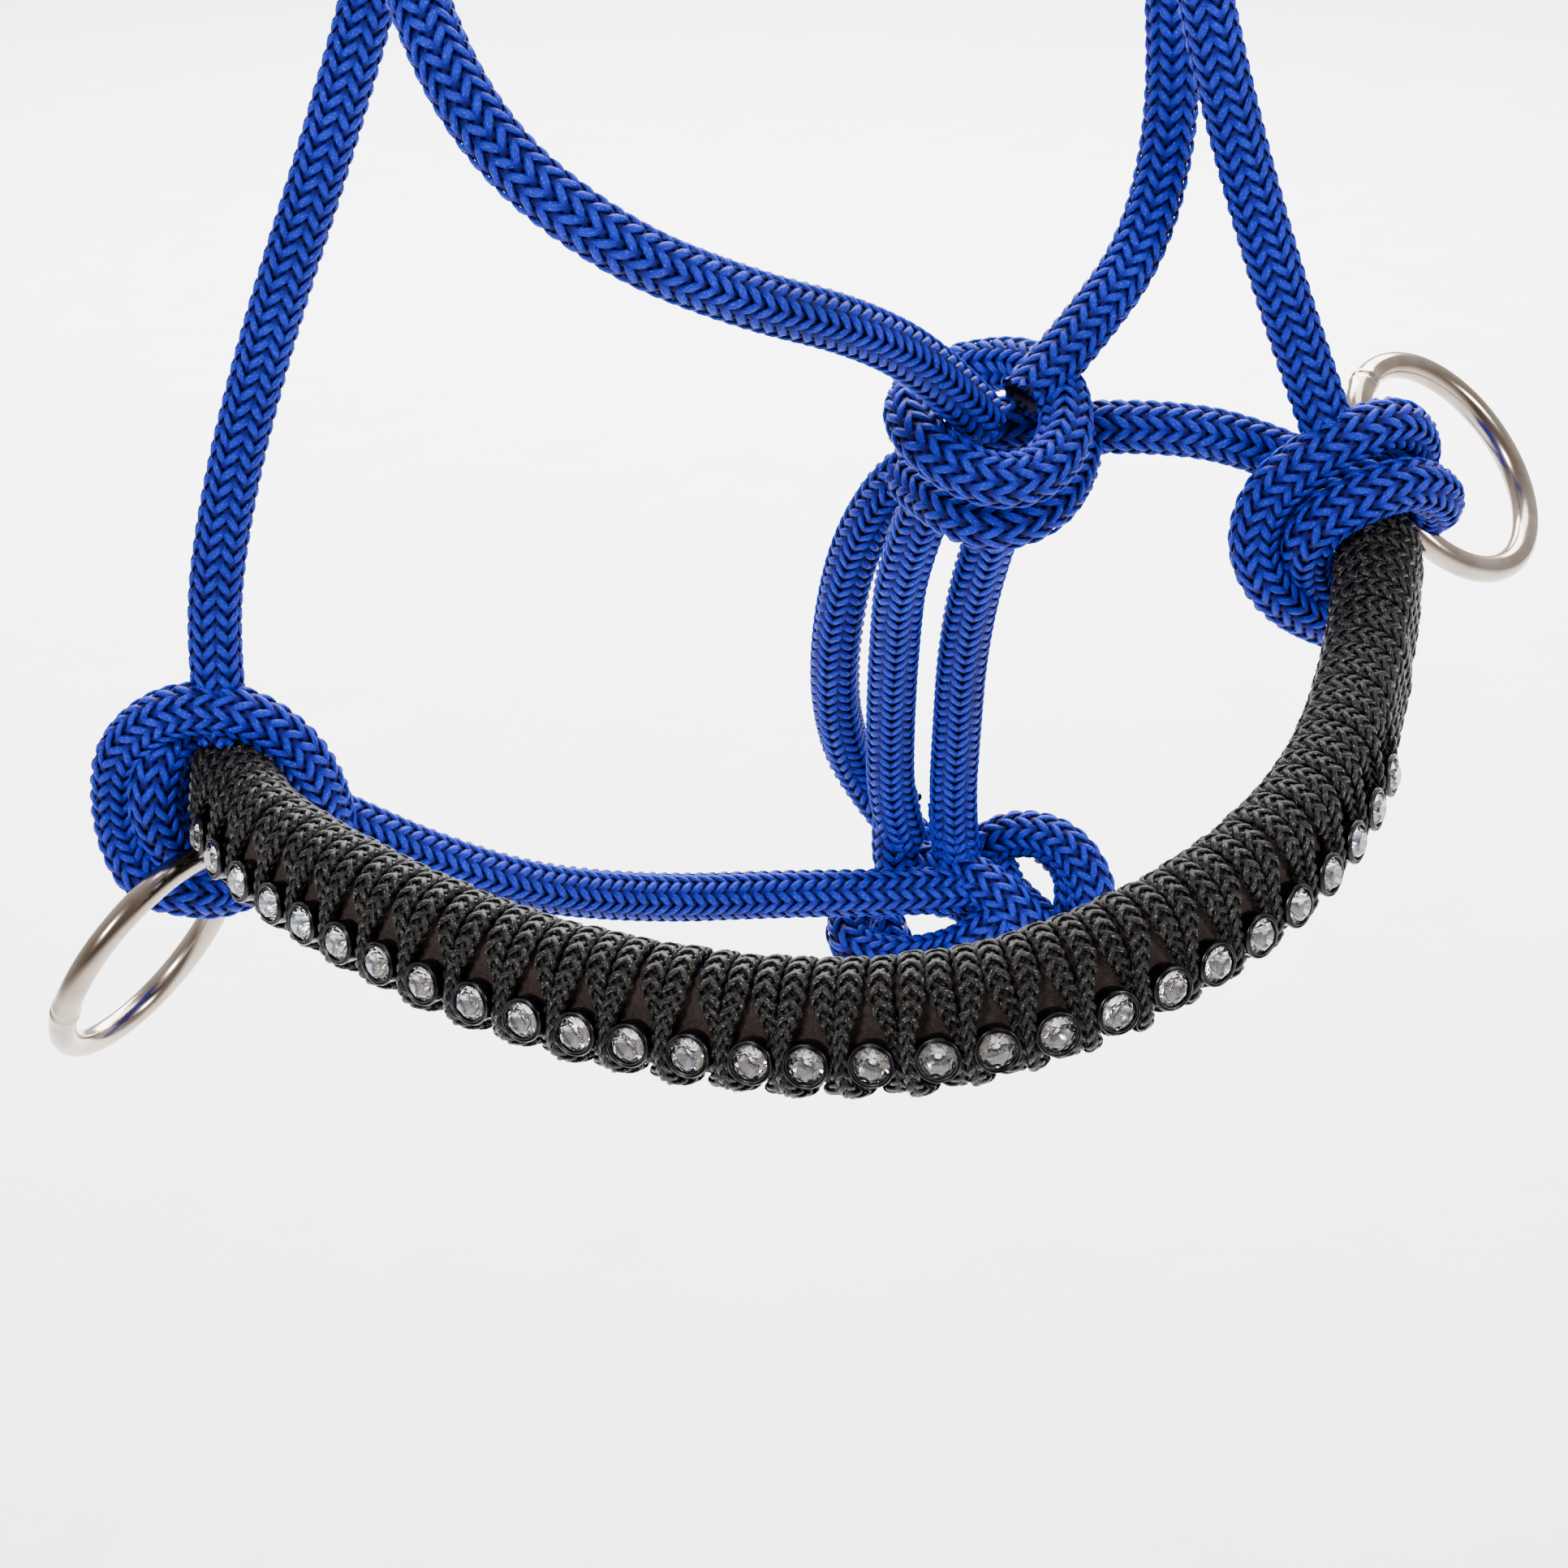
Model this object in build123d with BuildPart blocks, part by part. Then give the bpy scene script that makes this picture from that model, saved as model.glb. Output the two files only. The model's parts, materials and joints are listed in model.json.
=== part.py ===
"""Pony rope halter, hung by its poll: braided rope, a wrapped crystal noseband and two tie rings.

Millimetres. +Z up, +X towards the horse's left cheek as seen from the front, -Y forwards along the nose.
The origin is the underside of the crown at the poll, where a head or a peg carries the halter.
"""

from build123d import *
from math import cos, pi, radians, sin, tan
import os

# ---- driving dimensions ----
ROPE_R = 3.25  # braided halter rope, 6.5 mm across
CORE_R = 2.75  # the same rope squeezed under the noseband's wrap
BAND_LIFT = 6.0  # degrees that the band's front face looks upwards

HALF_STRAIGHT = 2.5  # strip and wrap have slot sections: two half rounds joined by straights
STRIP_INNER_R = 3.02  # the strip is bent over the front of the two ropes
STRIP_OUTER_R = 3.5
STRIP_EDGE = 1.5  # how far in front of the ropes' middles the strip's two edges lie
WRAP_SHIFT = 0.25  # the wrap's slot stands forwards by half of what the strip adds
WRAP_INNER_R = 3.4
WRAP_OUTER_R = 4.85

CRYSTAL_COUNT = 28
CRYSTAL_DROP = 2.5  # the crystals stand on the lower rope, this far below the band's centre line
CUP_R = 2.35
CUP_BASE = STRIP_OUTER_R
CUP_RIM = 5.9
CUP_FLOOR = 3.9
CUP_CLEARANCE = 0.1  # between the cups and the wrap, which is open along the row of cups
CRYSTAL_R = 1.92
CRYSTAL_TABLE_R = 1.15
CRYSTAL_FLOOR = 4.0
CRYSTAL_GIRDLE = 5.4
CRYSTAL_TOP = 6.05
CRYSTAL_PLAY = 0.08  # between a crystal and the wall of its cup
BAND_STEPS = 36  # sections along the noseband's layers
FIRST_CRYSTAL = 10.0  # along the band's centre line, from its left end
LAST_CRYSTAL = 172.0

RING_R = 14.0  # ring centre line radius
WIRE_R = 1.6
EYE_ROPE_R = 2.2
EYE_GAP = 0.6
KNOT_R = 6.6
KNOT_TO_EYE = 9.3
COLLAR_R = 6.2
COLLAR_ROPE_R = 3.1

PLAIN_KNOT_R = 7.0
PLAIN_COLLAR_R = 6.6

# ---- routes, each a list of points from knot to knot ----
BAND = [
    (-64.5, 3, -382.4), (-61, -9, -383.4), (-54, -20.5, -384.3), (-43, -32.5, -385),
    (-29, -43.5, -386.5), (-13, -51.5, -387), (3, -57.5, -386.2), (18, -59.8, -384),
    (31, -56.5, -381), (43, -49, -378), (53, -38.5, -374.6), (60, -26, -371),
    (64.5, -13, -366.8), (67.5, -1, -361.5), (68.8, 7, -357.3),
]
LEFT_CHEEK = [
    (-65, -1, -376), (-66, -1, -364), (-63.5, 0, -348), (-58, 1, -329), (-50, 1, -307),
    (-43, 2.5, -285), (-39, 3.5, -262), (-37.5, 4, -232),
]
RIGHT_CHEEK = [
    (63, 5, -343), (59.5, 6, -334), (54, 6, -319), (48, 4.5, -300), (43, 3, -280), (39.5, 1.5, -258),
    (38, 1, -232),
]
LEFT_CHIN = [
    (-60, 1, -383), (-53, 4, -388), (-43, 10.5, -396), (-31, 19, -404), (-16, 32, -411),
    (-1, 41.5, -414.5), (17, 45.5, -416), (27, 49, -417),
]
RIGHT_CHIN = [
    (60.5, 12, -347), (53, 11, -343.5), (44, 9, -341.5), (34, 9, -341.5), (24, 11.5, -343),
    (14.5, 17, -348.5), (9, 25, -359.5), (6.5, 35.5, -375), (6.5, 46.5, -391), (10, 55.5, -404),
    (18, 59, -415),
]
LEFT_LINK = [
    (17.5, 4, -346.5), (14, 14, -359), (13.5, 27, -375), (13.5, 39, -391), (14, 47.5, -403.5),
    (16, 51, -410.5),
]
RIGHT_LINK = [
    (26, 5, -347), (23.5, 15, -359), (22, 27.5, -375), (22, 39, -391), (22, 47, -403.5),
    (22.8, 50, -411),
]
LEFT_THROAT = [
    (22, -3, -337), (16, -11.5, -328.5), (7.5, -23, -321), (-4, -35, -315), (-17, -43.5, -307.5),
    (-30, -42, -297), (-38, -32.5, -281.5), (-41, -19.5, -265), (-39.5, -10, -248),
    (-37.5, -4.5, -234),
]
RIGHT_THROAT = [
    (27, 1, -336), (34.5, 7, -329), (41, 12, -321), (44, 14.5, -308), (43.5, 15, -292), (41, 14, -273),
    (39.5, 12.5, -253), (38, 9.5, -234),
]
CROWN_XZ = [
    (-37, -222), (-39.5, -194), (-41, -160), (-40, -126), (-36.5, -94), (-31, -63), (-26.5, -37),
    (-25, -13), (-10.8, 3.25), (10.8, 3.25), (25, -13), (27.5, -36), (31, -57), (33.5, -74), (35.5, -86),
]
CROWN_FRONT_Y = -1.5
CROWN_REAR_Y = 5.5
EYE_LOOP = [
    (40, 2, -222), (44, 2, -195), (46, 2, -167), (45.5, 2, -139), (44, 2, -115), (43.7, 2, -99),
    (43.5, 2, -88), (39.6, 2, -83.5), (33.9, 2, -83.5), (30, 2, -88), (30.5, 2, -99), (31.5, 2, -115),
    (33.5, 2, -139), (34.7, 2, -167), (34.5, 2, -195), (34, 2, -222),
]
FRONT_TAIL = [
    (43.2, -5.8, -94.5), (48.5, -11.8, -98), (53, -13, -109), (55, -12.5, -128), (54, -11, -153),
    (52.5, -9.5, -178),
]
REAR_TAIL = [
    (43.2, 9.8, -94.5), (48.5, 15.8, -98), (54.5, 17, -107), (58.5, 16.5, -123), (60, 15.5, -145),
    (59, 15, -167),
]

# ---- knots: centre of the lump, and the way each is stacked ----
CHIN_KNOT = (24, 51.5, -417)
THROAT_KNOT = (24, 1.5, -341)
LEFT_CROWN_KNOT = (-37, 2, -227)
RIGHT_CROWN_KNOT = (37.5, 4, -227)
TIE_KNOT = (36.5, 2, -90)

# ---- rings: centre, and the way from the centre to the eye that holds each ----
LEFT_RING_CENTRE = Vector(-75.7, -2.1, -402.6)
LEFT_RING_TO_EYE = Vector(0.546, 0.059, 0.836).normalized()
LEFT_RING_TANGENT = Vector(-0.32, -0.907, 0.273).normalized()
RIGHT_RING_CENTRE = Vector(79, 24.2, -350.9)
RIGHT_RING_TO_EYE = Vector(-0.676, -0.728, 0.11).normalized()
RIGHT_RING_TANGENT = Vector(-0.426, 0.509, 0.748).normalized()


def finish(block, name):
    """Labels a finished piece and writes its STEP."""
    block.part.label = name
    export_step(block.part, f"parts/{name}.step")


def corner_radii(points):
    """The largest tangent arc at each corner that leaves a short straight on both runs."""
    spots = [Vector(point) for point in points]
    radii = []
    for before, corner, after in zip(spots, spots[1:], spots[2:]):
        run_in = corner - before
        run_out = after - corner
        turn = radians(run_in.get_angle(run_out))
        radii.append(0.45 * min(run_in.length, run_out.length) / tan(turn / 2))
    return radii


def rope(name, points, radius=ROPE_R):
    """A length of round rope along a route of straights and tangent arcs."""
    radii = corner_radii(points)
    with BuildPart() as piece:
        with BuildLine() as route:
            FilletPolyline(*points, radius=radii)
        start = Plane(origin=route.line @ 0, z_dir=route.line % 0)
        with BuildSketch(start):
            Circle(radius)
        sweep()
    length = sum(edge.length for edge in route.edges())
    share = piece.part.volume / (pi * radius**2 * length)
    bends = [round(bend) for bend in radii]
    print(name, "length", round(length, 1), "volume share", round(share, 3), "radii", bends)
    finish(piece, name)


def plain_knot(name, centre, stack):
    """A pulled-up knot as a lump with two collars of rope round it, stacked along one direction."""
    centre = Vector(centre)
    stack = Vector(stack).normalized()
    with BuildPart() as knot:
        with Locations(Plane(centre, z_dir=stack)):
            Sphere(PLAIN_KNOT_R)
        for shift in (-0.5, 0.5):
            with Locations(Plane(centre + stack * (shift * 2 * ROPE_R), z_dir=stack)):
                Torus(PLAIN_COLLAR_R, ROPE_R)
    finish(knot, name)


def ring_knot(name, ring_centre, to_eye, tangent):
    """A nose knot: its lump and collar stand clear of the ring, which hangs in the small eye."""
    eye = ring_centre + to_eye * RING_R
    middle = eye + to_eye * KNOT_TO_EYE
    with BuildPart() as knot:
        with Locations(Plane(middle, z_dir=to_eye)):
            Sphere(KNOT_R)
        with Locations(Plane(middle + to_eye * COLLAR_ROPE_R, z_dir=to_eye)):
            Torus(COLLAR_R, COLLAR_ROPE_R)
        with Locations(Plane(eye, z_dir=tangent)):
            Torus(WIRE_R + EYE_GAP + EYE_ROPE_R, EYE_ROPE_R)
    finish(knot, name)


def tie_ring(name, ring_centre, to_eye, tangent):
    """A welded round wire ring in the plane of its tangent and the way to its eye."""
    with BuildPart() as ring:
        with Locations(Plane(ring_centre, x_dir=to_eye, z_dir=to_eye.cross(tangent))):
            Torus(RING_R, WIRE_R)
    finish(ring, name)


def band_line():
    """The noseband's centre line."""
    with BuildLine() as line:
        FilletPolyline(*BAND, radius=corner_radii(BAND))
    return line.wires()[0]


def band_plane(line, distance):
    """A section plane of the noseband: x looks out of its front face, y down it, z along the band."""
    share = distance / line.length
    along = line % share
    level = along.cross(Vector(0, 0, 1)).normalized()
    upward = level.cross(along).normalized()
    outward = level * cos(radians(BAND_LIFT)) + upward * sin(radians(BAND_LIFT))
    return Plane(origin=line @ share, x_dir=outward, z_dir=along)


def band_layer(name, line, section):
    """A layer of the noseband: one section at even steps along it, joined by ruled faces."""
    with BuildPart() as layer:
        for step in range(BAND_STEPS + 1):
            with BuildSketch(band_plane(line, line.length * step / BAND_STEPS)):
                add(section.sketch)
        loft(ruled=True)
    finish(layer, name)


def crystal_planes(line):
    """One plane per crystal, below the band's centre line, with z looking out of its front face.

    The crystals keep an even pitch on the curve that their rims follow, which is longer than the
    centre line at the bends, so the pitch is stepped off along that outer curve.
    """
    steps = 400
    span = LAST_CRYSTAL - FIRST_CRYSTAL
    sections = [band_plane(line, FIRST_CRYSTAL + span * i / steps) for i in range(steps + 1)]
    rims = [section.origin + section.x_dir * CUP_RIM for section in sections]
    travelled = [0.0]
    for before, after in zip(rims, rims[1:]):
        travelled.append(travelled[-1] + (after - before).length)
    pitch = travelled[-1] / (CRYSTAL_COUNT - 1)
    print("crystal pitch", round(pitch, 3))
    planes = []
    for number in range(CRYSTAL_COUNT):
        nearest = min(range(steps + 1), key=lambda i: abs(travelled[i] - number * pitch))
        section = sections[nearest]
        seat = section.origin + section.y_dir * CRYSTAL_DROP
        planes.append(Plane(origin=seat, x_dir=section.z_dir, z_dir=section.x_dir))
    return planes


def crystal_cups(planes):
    """A turned metal cup for each crystal, standing on the strip."""
    base = (Align.CENTER, Align.CENTER, Align.MIN)
    with BuildPart() as cups:
        with Locations(*[plane.offset(CUP_BASE) for plane in planes]):
            Cylinder(CUP_R, CUP_RIM - CUP_BASE, align=base)
        with Locations(*[plane.offset(CUP_FLOOR) for plane in planes]):
            Cylinder(CRYSTAL_R + CRYSTAL_PLAY, CUP_RIM, align=base, mode=Mode.SUBTRACT)
    finish(cups, "crystal_cups")


def crystals(planes):
    """A round crystal in each cup: a short barrel with an eight-sided crown and a flat table."""
    with BuildPart() as stones:
        for plane in planes:
            with BuildSketch(plane.offset(CRYSTAL_FLOOR)):
                RegularPolygon(CRYSTAL_R, 16)
            extrude(amount=CRYSTAL_GIRDLE - CRYSTAL_FLOOR)
            with BuildSketch(plane.offset(CRYSTAL_GIRDLE)):
                RegularPolygon(CRYSTAL_R, 8)
            with BuildSketch(plane.offset(CRYSTAL_TOP)):
                RegularPolygon(CRYSTAL_TABLE_R, 8)
            loft()
    finish(stones, "crystals")


def in_plane_y(points, y):
    return [(x, y, z) for x, z in points]


os.makedirs("parts", exist_ok=True)

rope("left_cheek_rope", LEFT_CHEEK)
rope("right_cheek_rope", RIGHT_CHEEK)
rope("left_chin_rope", LEFT_CHIN)
rope("right_chin_rope", RIGHT_CHIN)
rope("left_link_rope", LEFT_LINK)
rope("right_link_rope", RIGHT_LINK)
rope("left_throat_rope", LEFT_THROAT)
rope("right_throat_rope", RIGHT_THROAT)
rope("crown_front_rope", in_plane_y(CROWN_XZ, CROWN_FRONT_Y))
rope("crown_rear_rope", in_plane_y(CROWN_XZ, CROWN_REAR_Y))
rope("eye_loop", EYE_LOOP)
rope("front_tail", FRONT_TAIL)
rope("rear_tail", REAR_TAIL)

plain_knot("chin_knot", CHIN_KNOT, (0.9, 0.1, -0.3))
plain_knot("throat_knot", THROAT_KNOT, (0.25, 0.3, 1))
plain_knot("left_crown_knot", LEFT_CROWN_KNOT, (0.1, 0, 1))
plain_knot("right_crown_knot", RIGHT_CROWN_KNOT, (-0.1, 0, 1))
plain_knot("tie_knot", TIE_KNOT, (-0.15, 0, 1))

ring_knot("left_nose_knot", LEFT_RING_CENTRE, LEFT_RING_TO_EYE, LEFT_RING_TANGENT)
ring_knot("right_nose_knot", RIGHT_RING_CENTRE, RIGHT_RING_TO_EYE, RIGHT_RING_TANGENT)
tie_ring("left_ring", LEFT_RING_CENTRE, LEFT_RING_TO_EYE, LEFT_RING_TANGENT)
tie_ring("right_ring", RIGHT_RING_CENTRE, RIGHT_RING_TO_EYE, RIGHT_RING_TANGENT)

with BuildSketch() as upper_rope:
    with Locations((0, -CORE_R)):
        Circle(CORE_R)
with BuildSketch() as lower_rope:
    with Locations((0, CORE_R)):
        Circle(CORE_R)
with BuildSketch() as strip:
    SlotCenterToCenter(2 * HALF_STRAIGHT, 2 * STRIP_OUTER_R, rotation=90)
    SlotCenterToCenter(2 * HALF_STRAIGHT, 2 * STRIP_INNER_R, rotation=90, mode=Mode.SUBTRACT)
    with Locations((STRIP_EDGE, 0)):
        Rectangle(
            STRIP_OUTER_R, 4 * STRIP_OUTER_R, align=(Align.MIN, Align.CENTER), mode=Mode.INTERSECT
        )
with BuildSketch() as wrap:
    with Locations((WRAP_SHIFT, 0)):
        SlotCenterToCenter(2 * HALF_STRAIGHT, 2 * WRAP_OUTER_R, rotation=90)
        SlotCenterToCenter(2 * HALF_STRAIGHT, 2 * WRAP_INNER_R, rotation=90, mode=Mode.SUBTRACT)
    with Locations((WRAP_OUTER_R, CRYSTAL_DROP)):
        Rectangle(WRAP_OUTER_R, 2 * (CUP_R + CUP_CLEARANCE), mode=Mode.SUBTRACT)

centre_line = band_line()
print("noseband length", round(centre_line.length, 1))
band_layer("noseband_upper_rope", centre_line, upper_rope)
band_layer("noseband_lower_rope", centre_line, lower_rope)
band_layer("noseband_strip", centre_line, strip)
band_layer("noseband_wrap", centre_line, wrap)
seats = crystal_planes(centre_line)
crystal_cups(seats)
crystals(seats)
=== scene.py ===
"""Pony rope halter: braided rope in the round, a cord-wrapped crystal noseband, nickel tie rings.

Metres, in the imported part's frame: +Z up, -Y forwards, the origin under the crown at the poll.
"""

import json
from math import pi, radians

import bpy
import numpy as np
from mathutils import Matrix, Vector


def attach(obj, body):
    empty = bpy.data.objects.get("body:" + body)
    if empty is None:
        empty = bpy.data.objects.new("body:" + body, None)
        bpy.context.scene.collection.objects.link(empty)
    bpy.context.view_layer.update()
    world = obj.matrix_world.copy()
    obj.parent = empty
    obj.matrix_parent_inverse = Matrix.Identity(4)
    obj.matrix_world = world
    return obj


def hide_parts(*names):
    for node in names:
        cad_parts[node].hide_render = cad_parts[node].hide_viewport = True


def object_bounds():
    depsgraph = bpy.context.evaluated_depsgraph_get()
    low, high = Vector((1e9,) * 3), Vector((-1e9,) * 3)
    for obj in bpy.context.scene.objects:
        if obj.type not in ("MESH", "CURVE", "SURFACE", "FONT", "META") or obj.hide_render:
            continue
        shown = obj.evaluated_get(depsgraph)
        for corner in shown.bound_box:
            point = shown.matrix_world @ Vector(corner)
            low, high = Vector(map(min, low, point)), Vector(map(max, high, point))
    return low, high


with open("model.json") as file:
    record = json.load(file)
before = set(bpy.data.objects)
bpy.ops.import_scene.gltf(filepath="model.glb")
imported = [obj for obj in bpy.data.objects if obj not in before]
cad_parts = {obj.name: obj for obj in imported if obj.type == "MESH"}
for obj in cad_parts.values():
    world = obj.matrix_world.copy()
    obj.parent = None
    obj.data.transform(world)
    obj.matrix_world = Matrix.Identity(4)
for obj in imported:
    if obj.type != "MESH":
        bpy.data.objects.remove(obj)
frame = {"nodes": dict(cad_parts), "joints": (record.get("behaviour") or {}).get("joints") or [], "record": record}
cad_low, cad_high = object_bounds()
rng = np.random.default_rng(7)

# ---- camera ----
CAMERA_PLACE = (0, -0.4018, -0.2199)
CAMERA_TURN = radians(68)  # from straight down: it looks 22 degrees below level
LENS_MM, SENSOR_MM, NEAREST = 85, 36, 0.01

lens = bpy.data.cameras.new("camera")
lens.lens = LENS_MM
lens.sensor_width = SENSOR_MM
lens.clip_start = NEAREST
camera = bpy.data.objects.new("camera", lens)
camera.location = CAMERA_PLACE
camera.rotation_euler = (CAMERA_TURN, 0, 0)
bpy.context.scene.collection.objects.link(camera)
bpy.context.scene.camera = camera

# ---- sizes ----
ROPE = 0.0065  # braided halter rope, across
ROPE_LEAD = 0.023  # a strand goes once round the rope in this length
ROPE_CARRIERS = 24  # strands in the rope
ROPE_STRAND = (0.152, 0.085, 0.085)  # half width, half thickness and rise, as shares of the rope's radius
ROPE_MIDDLE = 0.83  # to the middle of the strands, as a share of the rope's radius
ROPE_CORE = 0.74
SEAL_R = 0.00305  # the melted plug on a rope's free end
HIDDEN_SEAL_R = 0.0027  # the plug on an end inside a knot
FINE_STEP, COARSE_STEP = 0.0005, 0.0006  # along a rope's mesh
CORD_HALF_WIDTH = 0.0015
CORD_HALF_THICKNESS = 0.00075
CORD_LEAD = 0.0058
CORD_CARRIERS = 8
BAND_LIFT = radians(6)  # how far the noseband's front looks upwards
CORE_R = 0.00275  # the halter rope squeezed under the wound cord
WRAP_SHIFT = 0.00025  # the winding's middle is this far in front of the band's centre line
WRAP_HALF_STRAIGHT = 0.0025  # of the winding's slot-shaped section
WRAP_R = 0.00415  # to the middle of the wound cord
CRYSTAL_DROP = 0.0025  # the crystals stand this far below the band's centre line
RING_R = 0.014
WIRE_R = 0.0016

# ---- routes of the rope ----
BAND = [
    (-0.0654, 0.003, -0.3826), (-0.0617, -0.009, -0.3836), (-0.054, -0.0205, -0.3843),
    (-0.043, -0.0325, -0.385), (-0.029, -0.0435, -0.3865), (-0.013, -0.0515, -0.387),
    (0.003, -0.0575, -0.3862), (0.018, -0.0598, -0.384), (0.031, -0.0565, -0.381), (0.043, -0.049, -0.378),
    (0.053, -0.0385, -0.3746), (0.06, -0.026, -0.371), (0.0645, -0.013, -0.3668), (0.0675, -0.001, -0.3615),
    (0.0694, 0.0095, -0.3558),
]
LEFT_CHEEK = [
    (-0.065, -0.001, -0.376), (-0.066, -0.001, -0.364), (-0.0635, 0, -0.348), (-0.058, 0.001, -0.329),
    (-0.05, 0.001, -0.307), (-0.043, 0.0025, -0.285), (-0.039, 0.0035, -0.262), (-0.0375, 0.004, -0.232),
]
RIGHT_CHEEK = [
    (0.063, 0.005, -0.343), (0.0595, 0.006, -0.334), (0.054, 0.006, -0.319), (0.048, 0.0045, -0.3),
    (0.043, 0.003, -0.28), (0.0395, 0.0015, -0.258), (0.038, 0.001, -0.232),
]
LEFT_CHIN = [
    (-0.06, 0.001, -0.383), (-0.053, 0.004, -0.388), (-0.043, 0.0105, -0.396), (-0.031, 0.019, -0.404),
    (-0.016, 0.032, -0.411), (-0.001, 0.0415, -0.4145), (0.017, 0.0455, -0.416), (0.027, 0.049, -0.417),
]
RIGHT_CHIN = [
    (0.0605, 0.012, -0.347), (0.053, 0.011, -0.3435), (0.044, 0.009, -0.3415), (0.034, 0.009, -0.3415),
    (0.024, 0.0115, -0.343), (0.0145, 0.017, -0.3485), (0.009, 0.025, -0.3595), (0.0065, 0.0355, -0.375),
    (0.0065, 0.0465, -0.391), (0.01, 0.0555, -0.404), (0.018, 0.059, -0.415),
]
LEFT_LINK = [
    (0.0175, 0.004, -0.3465), (0.014, 0.014, -0.359), (0.0135, 0.027, -0.375), (0.0135, 0.039, -0.391),
    (0.014, 0.0475, -0.4035), (0.016, 0.051, -0.4105),
]
RIGHT_LINK = [
    (0.026, 0.005, -0.347), (0.0235, 0.015, -0.359), (0.022, 0.0275, -0.375), (0.022, 0.039, -0.391),
    (0.022, 0.047, -0.4035), (0.0228, 0.05, -0.411),
]
LEFT_THROAT = [
    (0.022, -0.003, -0.337), (0.016, -0.0115, -0.3285), (0.0075, -0.023, -0.321), (-0.004, -0.035, -0.315),
    (-0.017, -0.0435, -0.3075), (-0.03, -0.042, -0.297), (-0.038, -0.0325, -0.2815),
    (-0.041, -0.0195, -0.265), (-0.0395, -0.01, -0.248), (-0.0375, -0.0045, -0.234),
]
RIGHT_THROAT = [
    (0.027, 0.001, -0.336), (0.0345, 0.007, -0.329), (0.041, 0.012, -0.321), (0.044, 0.0145, -0.308),
    (0.0435, 0.015, -0.292), (0.041, 0.014, -0.273), (0.0395, 0.0125, -0.253), (0.038, 0.0095, -0.234),
]
CROWN_FRONT = [
    (-0.037, -0.0015, -0.222), (-0.0395, -0.0015, -0.194), (-0.041, -0.0015, -0.16),
    (-0.04, -0.0015, -0.126), (-0.0365, -0.0015, -0.094), (-0.031, -0.0015, -0.063),
    (-0.0265, -0.0015, -0.037), (-0.025, -0.0015, -0.013), (-0.0108, -0.0015, 0.00325),
    (0.0108, -0.0015, 0.00325), (0.025, -0.0015, -0.013), (0.0275, -0.0015, -0.036),
    (0.031, -0.0015, -0.057), (0.0335, -0.0015, -0.074), (0.0355, -0.0015, -0.086),
]
CROWN_REAR = [(x, y + 0.007, z) for x, y, z in CROWN_FRONT]
EYE_LOOP = [
    (0.04, 0.002, -0.222), (0.044, 0.002, -0.195), (0.046, 0.002, -0.167), (0.0455, 0.002, -0.139),
    (0.044, 0.002, -0.115), (0.0437, 0.002, -0.099), (0.0435, 0.002, -0.088), (0.0396, 0.002, -0.0835),
    (0.0339, 0.002, -0.0835), (0.03, 0.002, -0.088), (0.0305, 0.002, -0.099), (0.0315, 0.002, -0.115),
    (0.0335, 0.002, -0.139), (0.0347, 0.002, -0.167), (0.0345, 0.002, -0.195), (0.034, 0.002, -0.222),
]
FRONT_TAIL = [
    (0.0432, -0.0058, -0.0945), (0.0485, -0.0118, -0.098), (0.053, -0.013, -0.109),
    (0.055, -0.0125, -0.128), (0.054, -0.011, -0.153), (0.0525, -0.0095, -0.178),
]
REAR_TAIL = [
    (0.0432, 0.0098, -0.0945), (0.0485, 0.0158, -0.098), (0.0545, 0.017, -0.107), (0.0585, 0.0165, -0.123),
    (0.06, 0.0155, -0.145), (0.059, 0.015, -0.167),
]
LEFT_NOSE_OUTER = [
    (-0.062, 0.006, -0.396), (-0.0665, 0.004, -0.398), (-0.071, 0, -0.396), (-0.0755, -0.0005, -0.3945),
    (-0.078, 0.001, -0.39), (-0.0785, 0.001, -0.3845), (-0.0775, 0, -0.378), (-0.0725, -0.0015, -0.373),
    (-0.067, -0.0025, -0.3715), (-0.0615, -0.0025, -0.3725), (-0.0565, -0.0015, -0.377),
    (-0.054, 0.0005, -0.383), (-0.0535, 0.004, -0.3905), (-0.0555, 0.0075, -0.3975),
]
LEFT_NOSE_INNER = [
    (-0.0675, 0.005, -0.3955), (-0.071, 0.001, -0.3925), (-0.0735, -0.002, -0.3865),
    (-0.0735, -0.002, -0.381), (-0.0715, 0.001, -0.3765), (-0.066, 0.003, -0.375),
    (-0.0605, 0.0035, -0.3775), (-0.0575, 0.0045, -0.383), (-0.0565, 0.007, -0.3905),
    (-0.0575, 0.0105, -0.3975),
]
LEFT_NOSE_CORE = [
    (-0.071, 0.005, -0.3775), (-0.07, 0.006, -0.3825), (-0.07, 0.006, -0.3875), (-0.0695, 0.007, -0.3935),
]
RIGHT_NOSE_UPPER = [
    (0.0655, 0.0115, -0.3665), (0.06, 0.0075, -0.3635), (0.0555, 0.0055, -0.3585), (0.054, 0.005, -0.3535),
    (0.0555, 0.0045, -0.348), (0.06, 0.0035, -0.3435), (0.065, 0.0035, -0.3405), (0.07, 0.0065, -0.34),
    (0.0735, 0.0115, -0.344), (0.0735, 0.017, -0.35), (0.0715, 0.022, -0.3535),
]
RIGHT_NOSE_LOWER = [
    (0.0625, 0.0105, -0.3635), (0.0605, 0.0075, -0.358), (0.06, 0.0035, -0.3535), (0.062, 0.002, -0.35),
    (0.067, 0.0015, -0.347), (0.072, 0.004, -0.3465), (0.076, 0.0085, -0.3495), (0.0765, 0.0135, -0.353),
    (0.074, 0.02, -0.356),
]
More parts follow.
